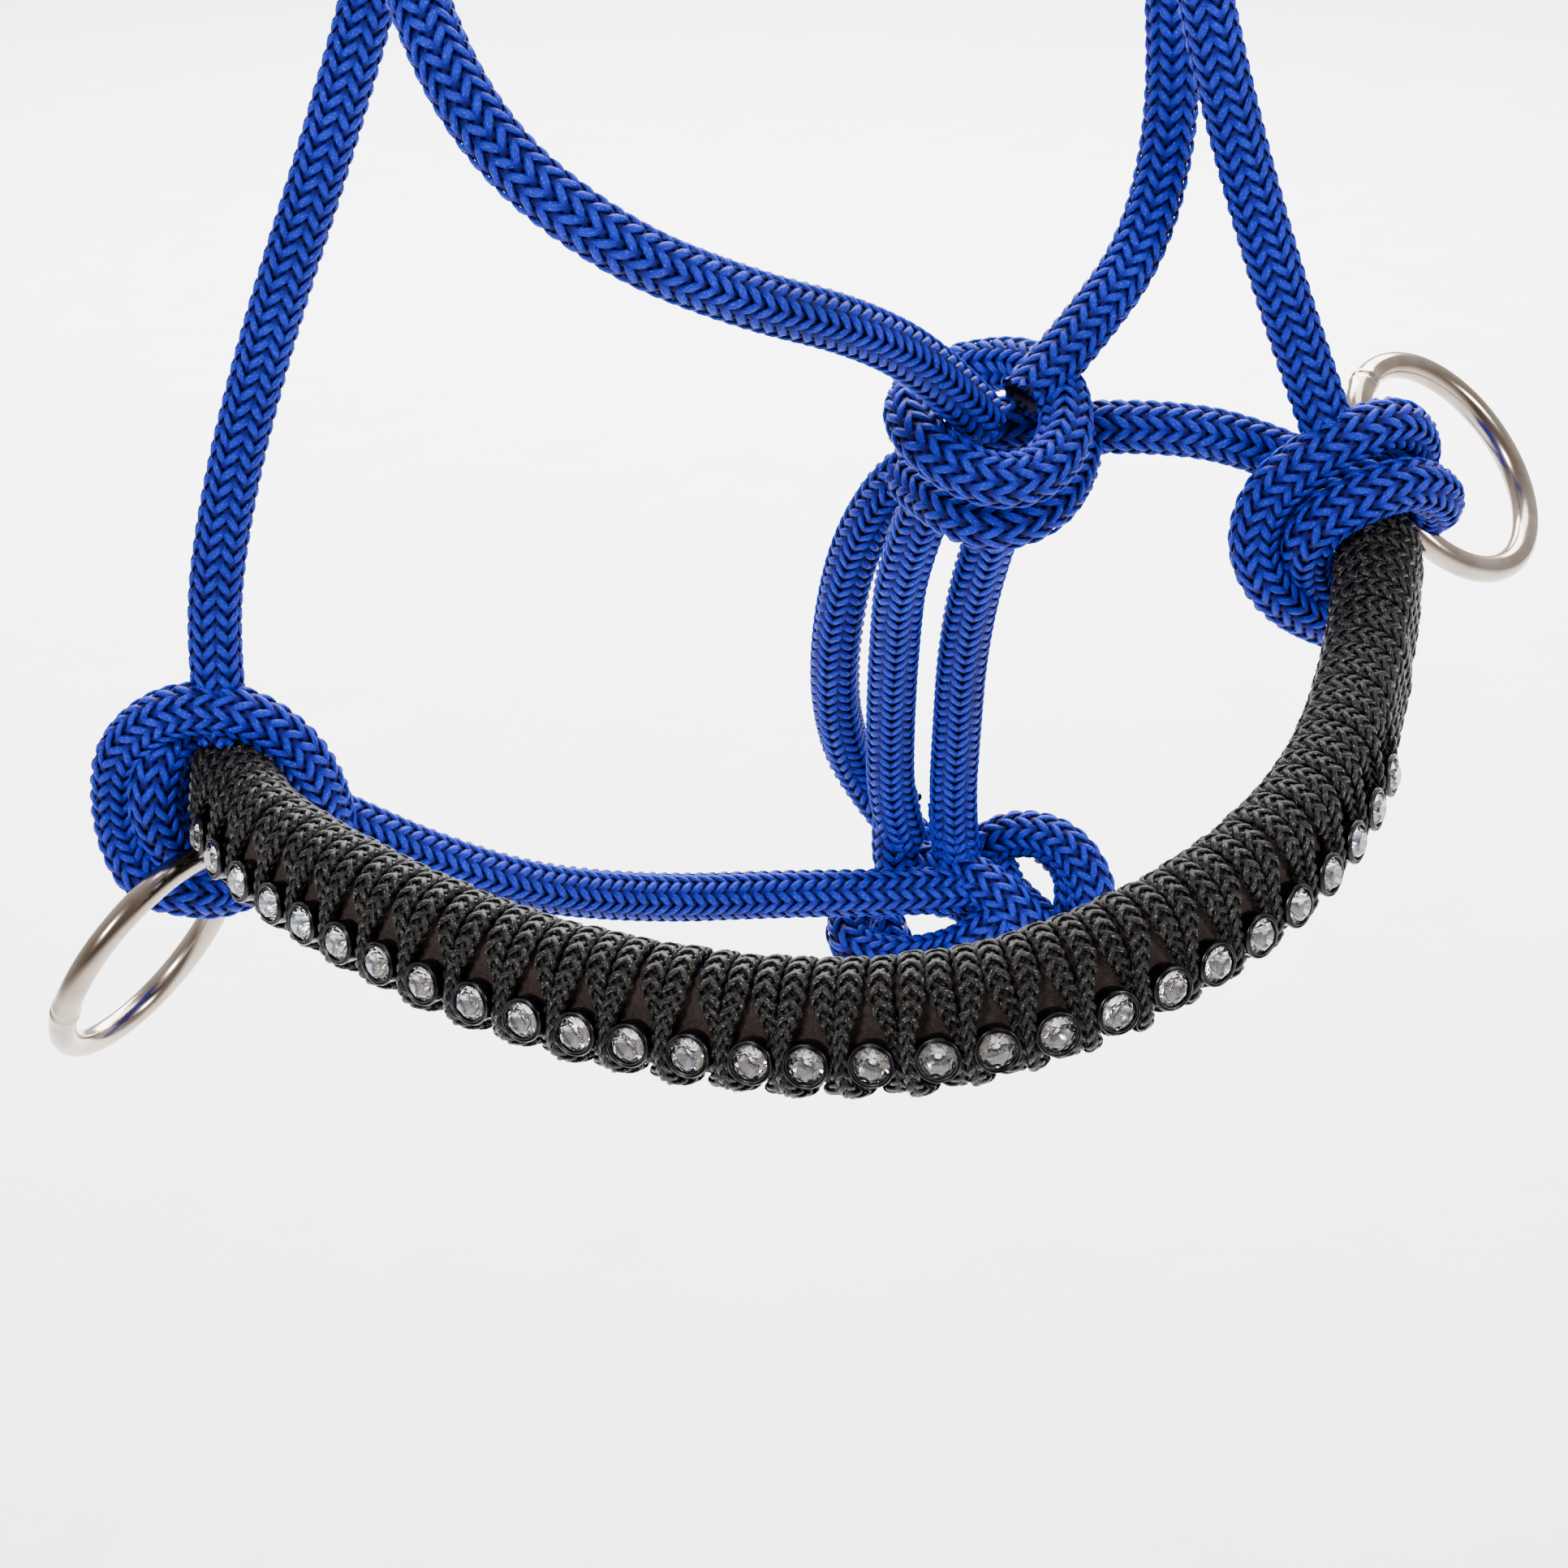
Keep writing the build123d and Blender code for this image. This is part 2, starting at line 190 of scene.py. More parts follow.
RIGHT_NOSE_CORE = [
    (0.065, 0.011, -0.36), (0.0605, 0.0105, -0.3585), (0.0595, 0.0105, -0.354), (0.062, 0.01, -0.35),
    (0.066, 0.0105, -0.3475), (0.071, 0.013, -0.3475), (0.074, 0.0175, -0.3515),
]
THROAT_FRONT = [
    (0.017, 0.007, -0.335), (0.014, 0.0005, -0.336), (0.0145, -0.005, -0.338), (0.0175, -0.0085, -0.34),
    (0.0225, -0.0105, -0.342), (0.0275, -0.0095, -0.342), (0.031, -0.0055, -0.34), (0.032, 0.0005, -0.337),
    (0.0305, 0.008, -0.335), (0.026, 0.0145, -0.335), (0.0205, 0.017, -0.337),
]
THROAT_REAR = [
    (0.0145, 0.0075, -0.347), (0.017, 0.001, -0.3475), (0.021, -0.003, -0.349), (0.0255, -0.004, -0.349),
    (0.03, -0.002, -0.3475), (0.033, 0.0035, -0.345), (0.034, 0.0105, -0.342), (0.032, 0.0175, -0.3405),
]
THROAT_CORE = [
    (0.017, 0.007, -0.3485), (0.019, 0.005, -0.343), (0.024, 0.0045, -0.3395), (0.0295, 0.0065, -0.3405),
    (0.0325, 0.0105, -0.345),
]
CHIN_RIGHT = [
    (0.024, 0.056, -0.417), (0.028, 0.0545, -0.412), (0.033, 0.053, -0.4105), (0.0375, 0.051, -0.4115),
    (0.0405, 0.049, -0.415), (0.0415, 0.048, -0.42), (0.041, 0.049, -0.426), (0.0375, 0.0505, -0.4295),
    (0.0315, 0.0525, -0.43),
]
CHIN_INNER = [
    (0.036, 0.0595, -0.415), (0.039, 0.057, -0.4165), (0.0395, 0.0545, -0.42), (0.039, 0.052, -0.4235),
    (0.0385, 0.052, -0.429),
]
CHIN_HEART = [
    (0.022, 0.0595, -0.4125), (0.025, 0.059, -0.4165), (0.0285, 0.058, -0.4195), (0.0325, 0.0565, -0.4235),
    (0.0365, 0.0545, -0.426),
]
CHIN_BACK = [
    (0.0095, 0.0615, -0.424), (0.0135, 0.0595, -0.4265), (0.0145, 0.0575, -0.429), (0.016, 0.054, -0.432),
]
CHIN_CROSS = [
    (0.017, 0.055, -0.416), (0.021, 0.0515, -0.4145), (0.0255, 0.0475, -0.415), (0.0295, 0.045, -0.417),
    (0.033, 0.0445, -0.4215), (0.036, 0.0465, -0.427),
]
CHIN_LOWER = [
    (0.0165, 0.0555, -0.42), (0.011, 0.0545, -0.4205), (0.0085, 0.051, -0.423), (0.009, 0.0475, -0.425),
    (0.014, 0.0455, -0.426), (0.021, 0.045, -0.425), (0.0265, 0.044, -0.4215), (0.03, 0.0465, -0.4185),
    (0.0285, 0.0535, -0.4165),
]
CHIN_LEFT_TAIL = [
    (0.015, 0.049, -0.404), (0.0145, 0.051, -0.411), (0.0155, 0.053, -0.417), (0.019, 0.0545, -0.42),
    (0.0245, 0.056, -0.4215),
]
CHIN_RIGHT_TAIL = [
    (0.022, 0.048, -0.404), (0.0225, 0.05, -0.4105), (0.0235, 0.0515, -0.417), (0.026, 0.0505, -0.422),
    (0.0305, 0.049, -0.4255),
]

# ---- rope paths inside the knots ----
# One pulled-up knot round a bundle of ropes, as offsets from the knot's middle.
OVERHAND = [
    (-0.003, 0.005, -0.008), (-0.0065, 0.001, -0.0065), (-0.006, -0.006, -0.0045), (0.0015, -0.0085, -0.003),
    (0.008, -0.004, -0.0025), (0.0085, 0.0045, -0.002), (0.001, 0.0085, -0.001), (-0.0075, 0.005, 0),
    (-0.009, -0.0035, 0.0015), (-0.001, -0.0095, 0.003), (0.007, -0.0065, 0.0045), (0.0085, 0.0015, 0.0055),
    (0.0035, 0.0065, 0.0065), (-0.001, 0.0055, 0.0085),
]
LEFT_CROWN_KNOT = (-0.037, 0.002, -0.227)
RIGHT_CROWN_KNOT = (0.0375, 0.004, -0.227)
TIE_FRONT = [
    (0.0355, -0.0015, -0.086), (0.0285, -0.002, -0.089), (0.026, 0.003, -0.093), (0.0275, 0.0095, -0.0945),
    (0.0365, 0.0115, -0.095), (0.0455, 0.009, -0.095), (0.0485, 0.0025, -0.0945), (0.0455, -0.003, -0.0945),
    (0.0432, -0.0058, -0.0945),
]
TIE_REAR = [
    (0.0355, 0.0055, -0.086), (0.029, 0.0085, -0.09), (0.0255, 0.003, -0.0985), (0.028, -0.0045, -0.101),
    (0.0365, -0.0075, -0.1015), (0.045, -0.006, -0.101), (0.0485, 0.0005, -0.0995), (0.0465, 0.0065, -0.0965),
    (0.0432, 0.0098, -0.0945),
]


# ---- shapes ----
def spline_points(points, resolution=20):
    """The points of one NURBS spline through a route, ends included."""
    curve = bpy.data.curves.new("route", "CURVE")
    curve.dimensions = "3D"
    curve.resolution_u = resolution
    spline = curve.splines.new("NURBS")
    spline.points.add(len(points) - 1)
    for spot, point in zip(spline.points, points):
        spot.co = (*point, 1)
    spline.order_u = 3
    spline.use_endpoint_u = True
    holder = bpy.data.objects.new("route", curve)
    bpy.context.scene.collection.objects.link(holder)
    graph = bpy.context.evaluated_depsgraph_get()
    mesh = bpy.data.meshes.new_from_object(holder.evaluated_get(graph))
    found = np.empty(len(mesh.vertices) * 3)
    mesh.vertices.foreach_get("co", found)
    bpy.data.objects.remove(holder)
    bpy.data.curves.remove(curve)
    bpy.data.meshes.remove(mesh)
    return found.reshape(-1, 3)


def run_of(points):
    """Distance along a line at each of its points."""
    return np.concatenate([[0], np.cumsum(np.linalg.norm(np.diff(points, axis=0), axis=1))])


def even(points, step):
    """The same line at even steps."""
    run = run_of(points)
    spots = np.linspace(0, run[-1], max(4, round(run[-1] / step)) + 1)
    return np.stack([np.interp(spots, run, points[:, axis]) for axis in range(3)], axis=1)


def unit(vectors):
    return vectors / np.linalg.norm(vectors, axis=-1, keepdims=True)


def carried_frame(points):
    """Two cross directions carried along a line without twist."""
    tangents = unit(np.gradient(points, axis=0))
    first = np.cross(tangents[0], (0.3, 0.5, 0.81))
    across = np.empty_like(points)
    for i, tangent in enumerate(tangents):
        first = first - tangent * (first @ tangent)
        first /= np.linalg.norm(first)
        across[i] = first
    return across, np.cross(tangents, across)


def new_mesh(name, vertices, faces, uvs=None, rise=None, smooth=True, slots=None):
    """A mesh object from arrays; uvs and rise are per vertex."""
    mesh = bpy.data.meshes.new(name)
    faces = np.asarray(faces, dtype=np.int32)
    mesh.vertices.add(len(vertices))
    mesh.vertices.foreach_set("co", np.asarray(vertices, dtype=np.float32).ravel())
    mesh.loops.add(faces.size)
    mesh.loops.foreach_set("vertex_index", faces.ravel())
    mesh.polygons.add(len(faces))
    mesh.polygons.foreach_set("loop_start", np.arange(0, faces.size, faces.shape[1], dtype=np.int32))
    mesh.polygons.foreach_set("use_smooth", np.full(len(faces), smooth))
    if slots is not None:
        mesh.polygons.foreach_set("material_index", np.asarray(slots, dtype=np.int32))
    mesh.update(calc_edges=True)
    if uvs is not None:
        layer = mesh.uv_layers.new(name="weave")
        layer.data.foreach_set("uv", np.asarray(uvs, dtype=np.float32)[faces.ravel()].ravel())
    if rise is not None:
        mesh.attributes.new("rise", "FLOAT", "POINT").data.foreach_set("value", np.float32(rise))
    piece = bpy.data.objects.new(name, mesh)
    bpy.context.scene.collection.objects.link(piece)
    return piece


def tube_faces(rings, sides, first=0):
    """Quads of a tube of rings x sides vertices, starting at vertex number first."""
    ring, side = np.meshgrid(np.arange(rings - 1), np.arange(sides), indexing="ij")
    a = ring * sides + side
    b = ring * sides + (side + 1) % sides
    return (np.stack([a, b, b + sides, a + sides], axis=-1) + first).reshape(-1, 4)


# A strand's lens-shaped section: offsets across and outwards, as shares of its half sizes.
STRAND_SECTION = np.array([(1, 0), (0.45, 0.9), (-0.45, 0.9), (-1, 0), (0, -0.8)])
MM = 1000  # millimetres in a metre: the weave's texture is laid out in millimetres
STRAND_SHIFT = 37.3  # how far apart the texture starts on neighbouring strands


def braid(points, across, outward, sizes, strand, carriers, lead, turn=0.0, flat=0.0):
    """Strands plaited two over, two under round a line.

    across and outward are the section's directions, sizes its two half sizes to the middle of the
    strands, strand their half width, half thickness and rise, turn where in the weave the line starts
    and flat how long the strands stay on top. Gives vertices, faces, uvs and rise.
    """
    run = run_of(points)
    half = carriers // 2
    sign = np.repeat([1.0, -1.0], half)[:, None]
    base = np.tile(np.arange(half) * 2 * pi / half, 2)[:, None]
    angle = sign * 2 * pi * run / lead + base
    wave = sign * np.cos(carriers / 4 * angle - turn)
    wave = wave + flat * (wave - wave**3) / 2
    half_width, half_thickness, lift = strand
    wide = np.broadcast_to(sizes[0], run.shape) + lift * wave
    high = np.broadcast_to(sizes[1], run.shape) + lift * wave
    cos_part = np.cos(angle)[..., None]
    sin_part = np.sin(angle)[..., None]
    middle = points + wide[..., None] * cos_part * across + high[..., None] * sin_part * outward
    normal = unit(cos_part / np.mean(sizes[0]) * across + sin_part / np.mean(sizes[1]) * outward)
    tangent = unit(np.gradient(middle, axis=1))
    side = unit(np.cross(tangent, normal))
    normal = np.cross(side, tangent)
    width = np.broadcast_to(half_width, run.shape)[None, :, None, None]
    shape = STRAND_SECTION
    vertices = (
        middle[:, :, None, :]
        + side[:, :, None, :] * width * shape[None, None, :, 0, None]
        + normal[:, :, None, :] * half_thickness * shape[None, None, :, 1, None]
    )
    steps = np.linalg.norm(np.diff(middle, axis=1), axis=2)
    along = np.concatenate([np.zeros((carriers, 1)), np.cumsum(steps, axis=1)], axis=1)
    along = along * MM + np.arange(carriers)[:, None] * STRAND_SHIFT
    uvs = np.empty(vertices.shape[:3] + (2,))
    uvs[..., 0] = along[:, :, None]
    uvs[..., 1] = (shape[:, 0] * np.mean(half_width) * MM)[None, None, :] + np.sign(shape[:, 1]) * 0.01
    # rise is high where a strand rides over and on the top of its section, low where it dives under: the mask for
    # painted shade and painted highlight on the yarn.
    rise = np.clip(0.5 + 0.42 * wave[:, :, None] + 0.16 * shape[None, None, :, 1], 0, 1)
    rings, sides = len(run), len(shape)
    faces = np.concatenate([tube_faces(rings, sides, c * rings * sides) for c in range(carriers)])
    return vertices.reshape(-1, 3), faces, uvs.reshape(-1, 2), rise.ravel()


def core_tube(points, across, outward, radius_a, radius_b, sides=8):
    """The plain core inside a braid."""
    angle = np.arange(sides) * 2 * pi / sides
    ring = np.cos(angle)[None, :, None] * across[:, None, :] * radius_a
    ring = ring + np.sin(angle)[None, :, None] * outward[:, None, :] * radius_b
    vertices = (points[:, None, :] + ring).reshape(-1, 3)
    return vertices, tube_faces(len(points), sides)


def plaited_piece(name, strands, core, materials):
    """A mesh object of plaited strands round a core, with a material for each."""
    vertices, faces, uvs, rise = strands
    inner, inner_faces = core
    slots = np.repeat([0, 1], [len(faces), len(inner_faces)])
    piece = new_mesh(
        name,
        np.concatenate([vertices, inner]),
        np.concatenate([faces, inner_faces + len(vertices)]),
        np.concatenate([uvs, np.zeros((len(inner), 2))]),
        np.concatenate([rise, np.zeros(len(inner))]),
        slots=slots,
    )
    for material in materials:
        piece.data.materials.append(material)
    return piece


def rope_piece(name, points, step=FINE_STEP, radius=ROPE / 2):
    """A length of halter rope."""
    line = even(points, step)
    across, outward = carried_frame(line)
    middle = radius * ROPE_MIDDLE
    strand = [radius * share for share in ROPE_STRAND]
    strands = braid(line, across, outward, (middle, middle), strand, ROPE_CARRIERS, ROPE_LEAD)
    core = core_tube(line[::4], across[::4], outward[::4], radius * ROPE_CORE, radius * ROPE_CORE, 12)
    return plaited_piece(name, strands, core, (rope_material, core_material))


def joined(name, parts):
    """Several pieces of rope as one object."""
    with bpy.context.temp_override(active_object=parts[0], selected_editable_objects=parts):
        bpy.ops.object.join()
    parts[0].name = name
    return parts[0]


# ---- materials ----
def shader(name, **values):
    """A material with its node tree, links, node maker and Principled shader."""
    material = bpy.data.materials.new(name)
    material.use_nodes = True
    tree = material.node_tree
    surface = tree.nodes["Principled BSDF"]
    for label, value in values.items():
        surface.inputs[label.replace("_", " ")].default_value = value
    return material, tree, surface


def node(tree, kind, inputs=None, **settings):
    """A node with its settings; inputs are values or sockets to link from."""
    made = tree.nodes.new(kind)
    for label, value in settings.items():
        setattr(made, label, value)
    for label, value in (inputs or {}).items():
        if isinstance(value, bpy.types.NodeSocket):
            tree.links.new(value, made.inputs[label])
        else:
            made.inputs[label].default_value = value
    return made


def ramp(tree, factor, stops):
    """A colour ramp from a list of (position, colour)."""
    made = node(tree, "ShaderNodeValToRGB", {"Fac": factor})
    made.color_ramp.elements[0].position = stops[0][0]
    made.color_ramp.elements[0].color = (*stops[0][1], 1)
    made.color_ramp.elements[1].position = stops[-1][0]
    made.color_ramp.elements[1].color = (*stops[-1][1], 1)
    for position, colour in stops[1:-1]:
        made.color_ramp.elements.new(position).color = (*colour, 1)
    return made.outputs["Color"]


def maths(tree, operation, a, b):
    return node(tree, "ShaderNodeMath", {0: a, 1: b}, operation=operation).outputs[0]


def tinted(tree, factor, a, b, blend="MIX"):
    """Colour a mixed with colour b."""
    made = node(tree, "ShaderNodeMix", data_type="RGBA", blend_type=blend)
    for index, value in ((0, factor), (6, a), (7, b)):
        if isinstance(value, bpy.types.NodeSocket):
            tree.links.new(value, made.inputs[index])
        else:
            made.inputs[index].default_value = value
    return made.outputs[2]


def yarn(name, shade_to_highlight_tones, painted_glints, roughness, specular, fibre_scale):
    """Plaited yarn: filaments along each strand, painted shade where a strand dives under, a painted highlight on
    its crest and painted glints on the crests.
    """
    material, tree, surface = shader(name, Specular_IOR_Level=specular)
    place = node(tree, "ShaderNodeUVMap", uv_map="weave").outputs["UV"]
    stretched = node(
        tree, "ShaderNodeMapping", {"Vector": place, "Scale": (0.9, fibre_scale, 1)}
    ).outputs["Vector"]
    fibre = node(tree, "ShaderNodeTexNoise", {"Vector": stretched, "Scale": 1.0, "Detail": 3.0}).outputs[0]
    # Painted shade and highlight: dark where rise is low, where a strand dives under, and bright on its crest,
    # with the fibre noise mixed in.
    rise = node(tree, "ShaderNodeAttribute", attribute_name="rise").outputs["Fac"]
    tone = maths(tree, "ADD", rise, maths(tree, "MULTIPLY", maths(tree, "SUBTRACT", fibre, 0.5), 0.55))
    colour = ramp(tree, tone, shade_to_highlight_tones)
    # Painted glints: bright specks in the glint colour, kept to the strands' crests by the rise mask.
    spots = node(
        tree, "ShaderNodeMapping", {"Vector": place, "Scale": (2.6, fibre_scale * 1.3, 1)}
    ).outputs["Vector"]
    bright = node(tree, "ShaderNodeTexNoise", {"Vector": spots, "Scale": 1.0, "Detail": 1.0}).outputs[0]
    bright = ramp(tree, bright, [(painted_glints[0], (0, 0, 0)), (painted_glints[0] + 0.07, (1, 1, 1))])
    bright = tinted(tree, 1.0, bright, ramp(tree, rise, [(0.6, (0, 0, 0)), (0.95, (1, 1, 1))]), "MULTIPLY")
    colour = tinted(tree, bright, colour, (*painted_glints[1], 1))
    where = node(tree, "ShaderNodeTexCoord").outputs["Object"]
    wear = node(tree, "ShaderNodeTexNoise", {"Vector": where, "Scale": 55.0, "Detail": 4.0}).outputs[0]
    wear = ramp(tree, wear, [(0.35, (0.82, 0.82, 0.82)), (0.7, (1.12, 1.12, 1.12))])
    colour = tinted(tree, 1.0, colour, wear, "MULTIPLY")
    tree.links.new(colour, surface.inputs["Base Color"])
    rough = node(
        tree,
        "ShaderNodeMapRange",
        {"Value": fibre, "To Min": roughness - 0.1, "To Max": roughness + 0.18},
    ).outputs[0]
    tree.links.new(rough, surface.inputs["Roughness"])
    bump = node(tree, "ShaderNodeBump", {"Height": fibre, "Strength": 0.6, "Distance": 0.00012})
    tree.links.new(bump.outputs[0], surface.inputs["Normal"])
    return material


# Blue yarn: painted shade in dark navy where strands dive under, a painted highlight in bright blue on the crests,
# and painted glints in pale blue.
rope_material = yarn(
    "braided_polyester",
    [(0.0, (0.0004, 0.0004, 0.012)), (0.45, (0.0016, 0.0014, 0.07)), (0.8, (0.0045, 0.0045, 0.22)),
     (1.0, (0.008, 0.016, 0.42))],
    (0.6, (0.03, 0.11, 0.9)),
    0.5,
    0.12,
    9.0,
)
# Black cord: painted shade where strands dive under, a painted highlight on the crests, and pale painted glints on
# the filaments.
cord_material = yarn(
    "plaited_cord",
    [(0.0, (0.0004, 0.0003, 0.0003)), (0.5, (0.0014, 0.0012, 0.0011)), (0.85, (0.0042, 0.0036, 0.0034)),
     (1.0, (0.009, 0.008, 0.0075))],
    (0.64, (0.42, 0.39, 0.37)),
    0.36,
    0.22,
    12.0,
)
# The rope's core: its near black-blue is painted shade, for the gaps between the strands.
core_material, _, _ = shader("rope_core", Base_Color=(0.002, 0.003, 0.03, 1), Roughness=0.9)


def speckled(name, dark, light, scale, roughness, bump_depth, **values):
    """A surface with fine speckles and grain."""
    material, tree, surface = shader(name, **values)
    where = node(tree, "ShaderNodeTexCoord").outputs["Object"]
    grain = node(tree, "ShaderNodeTexNoise", {"Vector": where, "Scale": scale, "Detail": 6.0}).outputs[0]
    tree.links.new(ramp(tree, grain, [(0.36, dark), (0.66, light)]), surface.inputs["Base Color"])
    rough = node(
        tree,
        "ShaderNodeMapRange",
        {"Value": grain, "To Min": roughness[0], "To Max": roughness[1]},
    ).outputs[0]
    tree.links.new(rough, surface.inputs["Roughness"])
    bump = node(tree, "ShaderNodeBump", {"Height": grain, "Strength": 0.5, "Distance": bump_depth})
    tree.links.new(bump.outputs[0], surface.inputs["Normal"])
    return material


suede_material = speckled(
    "suede", (0.003, 0.0018, 0.0016), (0.034, 0.014, 0.01), 2600, (0.8, 1.0), 0.00015, Sheen_Weight=0.1
)
cup_material = speckled(
    "gunmetal", (0.014, 0.014, 0.017), (0.05, 0.05, 0.057), 900, (0.16, 0.34), 0.00001, Metallic=1.0
)
ring_material = speckled(
    "nickel", (0.36, 0.29, 0.235), (0.55, 0.46, 0.39), 160, (0.12, 0.24), 0.00002, Metallic=1.0
)
seal_material = speckled(
    "melted_end", (0.003, 0.004, 0.05), (0.01, 0.016, 0.2), 900, (0.5, 0.75), 0.0001, Specular_IOR_Level=0.2
)
floor_material = speckled(
    "pale_floor", (0.93, 0.93, 0.93), (0.96, 0.96, 0.96), 30, (0.7, 0.9), 0.0001
)


def sealed_end(name, points, size=SEAL_R):
    """The melted plug on a cut rope end, rounded over the last strands; points run towards the end."""
    tip = points[-1]
    along = unit(tip - points[-2])
    first = unit(np.cross(along, (0.2, 0.9, 0.1)))
    second = np.cross(along, first)
    rings, sides = 9, 24
    start, reach, tip_radius = -0.001, 0.0021, 0.00012
    vertices = []
    for i in range(rings):
        swell = i / (rings - 1)
        radius = size * (1 - swell**2.4) ** 0.5 if i < rings - 1 else tip_radius
        for k in range(sides):
            angle = 2 * pi * k / sides
            wave = 1 + 0.05 * np.sin(5 * angle + 1.3) + 0.03 * np.sin(9 * angle)
            spot = tip + along * (reach * swell + start)
            vertices.append(spot + radius * wave * (first * np.cos(angle) + second * np.sin(angle)))
    faces = tube_faces(rings, sides)
    piece = new_mesh(name, vertices, faces)
    piece.data.materials.append(seal_material)
    return piece


# ---- ropes ----
# name, route, real length in metres, body it rides on, the CAD node it stands for, far end, lay
SPANS = [
    ("left_cheek_braid", LEFT_CHEEK, 0.148, "halter", "left_cheek_rope", "object", "hanging"),
    ("right_cheek_braid", RIGHT_CHEEK, 0.115, "halter", "right_cheek_rope", "object", "hanging"),
    ("left_chin_braid", LEFT_CHIN, 0.108, "halter", "left_chin_rope", "object", "hanging"),
    ("right_chin_braid", RIGHT_CHIN, 0.132, "halter", "right_chin_rope", "object", "hanging"),
    ("left_link_braid", LEFT_LINK, 0.08, "halter", "left_link_rope", "object", "hanging"),
    ("right_link_braid", RIGHT_LINK, 0.079, "halter", "right_link_rope", "object", "hanging"),
    ("left_throat_braid", LEFT_THROAT, 0.156, "halter", "left_throat_rope", "object", "hanging"),
    ("right_throat_braid", RIGHT_THROAT, 0.111, "halter", "right_throat_rope", "object", "hanging"),
    ("crown_front_braid", CROWN_FRONT, 0.345, "halter", "crown_front_rope", "object", "taut"),
    ("crown_rear_braid", CROWN_REAR, 0.345, "halter", "crown_rear_rope", "object", "taut"),
    ("eye_loop_braid", EYE_LOOP, 0.285, "halter", "eye_loop", "object", "taut"),
    ("front_tail_braid", FRONT_TAIL, 0.089, "front_tail", "front_tail", "bare", "hanging"),
    ("rear_tail_braid", REAR_TAIL, 0.08, "rear_tail", "rear_tail", "bare", "hanging"),
]
LONG_SPAN = 0.2
for name, route, length, body, cad_node, far_end, lay in SPANS:
    path = spline_points(route)
    piece = rope_piece(name, path, step=COARSE_STEP if length > LONG_SPAN else FINE_STEP)
    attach(piece, body)
    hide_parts(cad_node)
    if far_end == "bare":
        seal = sealed_end(name.replace("braid", "seal"), even(path, FINE_STEP))
        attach(seal, body)


def shifted(offsets, centre, mirror=1):
    """A knot's path at its centre; mirror is -1 for the other hand."""
    return [(x * mirror + centre[0], y + centre[1], z + centre[2]) for x, y, z in offsets]


# name, rope paths through the knot, the CAD node it stands for
KNOTS = [
    ("left_nose_knot_rope", [LEFT_NOSE_OUTER, LEFT_NOSE_INNER, LEFT_NOSE_CORE], "left_nose_knot"),
    ("right_nose_knot_rope", [RIGHT_NOSE_UPPER, RIGHT_NOSE_LOWER, RIGHT_NOSE_CORE], "right_nose_knot"),
    ("throat_knot_rope", [THROAT_FRONT, THROAT_REAR, THROAT_CORE], "throat_knot"),
    (
        "chin_knot_rope",
        [
            CHIN_RIGHT, CHIN_INNER, CHIN_HEART, CHIN_BACK, CHIN_CROSS, CHIN_LOWER, CHIN_LEFT_TAIL,
            CHIN_RIGHT_TAIL,
        ],
        "chin_knot",
    ),
    ("left_crown_knot_rope", [shifted(OVERHAND, LEFT_CROWN_KNOT)], "left_crown_knot"),
    ("right_crown_knot_rope", [shifted(OVERHAND, RIGHT_CROWN_KNOT, -1)], "right_crown_knot"),
    ("tie_knot_rope", [TIE_FRONT, TIE_REAR], "tie_knot"),
]
for name, routes, cad_node in KNOTS:
    parts = []
    for i, route in enumerate(routes):
        path = spline_points(route)
        parts.append(rope_piece(f"{name}_{i}", path))
        line = even(path, FINE_STEP)
        parts.append(sealed_end(f"{name}_{i}_end", line, HIDDEN_SEAL_R))
        parts.append(sealed_end(f"{name}_{i}_start", line[::-1], HIDDEN_SEAL_R))
    knot = joined(name, parts)
    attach(knot, "halter")
    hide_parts(cad_node)

# ---- noseband ----
band = even(spline_points(BAND, 40), FINE_STEP)
band_run = run_of(band)
band_along = unit(np.gradient(band, axis=0))
band_level = unit(np.cross(band_along, (0, 0, 1)))
band_rise = np.cross(band_level, band_along)
band_out = band_level * np.cos(BAND_LIFT) + band_rise * np.sin(BAND_LIFT)
band_up = np.cross(band_out, band_along)


def on_band(distance, table):
    """A band direction or point at distances along the band."""
    return np.stack([np.interp(distance, band_run, table[:, axis]) for axis in range(3)], axis=-1)


def slot_spot(lengths, radius):
    """Places round the wrap's slot section, by length up from the middle of its front."""
    straight = WRAP_HALF_STRAIGHT
    quarter = pi * radius
    size = np.abs(lengths)
    angle = np.clip((size - straight) / radius, 0, pi)
    out = WRAP_SHIFT + radius * np.cos(angle)
    up = np.clip(size, 0, straight) + radius * np.sin(angle) - np.clip(size - straight - quarter, 0, straight)
    normal = np.stack([np.cos(angle), np.sin(angle) * np.sign(lengths)], axis=-1)
    return out, up * np.sign(lengths), normal


# The crystals' places along the band, from the corners of the CAD stones.
STONE_OUT = 0.005  # from the band's centre line to the middle of a stone
STONE_GAP = 0.001  # a step along the band longer than this leads to the next stone
stones = np.array([corner.co for corner in frame["nodes"]["crystals"].data.vertices])
row = band + band_out * STONE_OUT - band_up * CRYSTAL_DROP
marks = np.array([np.argmin(np.linalg.norm(row - stone, axis=1)) for stone in stones])
marks = np.sort(band_run[marks])
breaks = np.flatnonzero(np.diff(marks) > STONE_GAP)
seats = (marks[np.append(0, breaks + 1)] + marks[np.append(breaks, len(marks) - 1)]) / 2

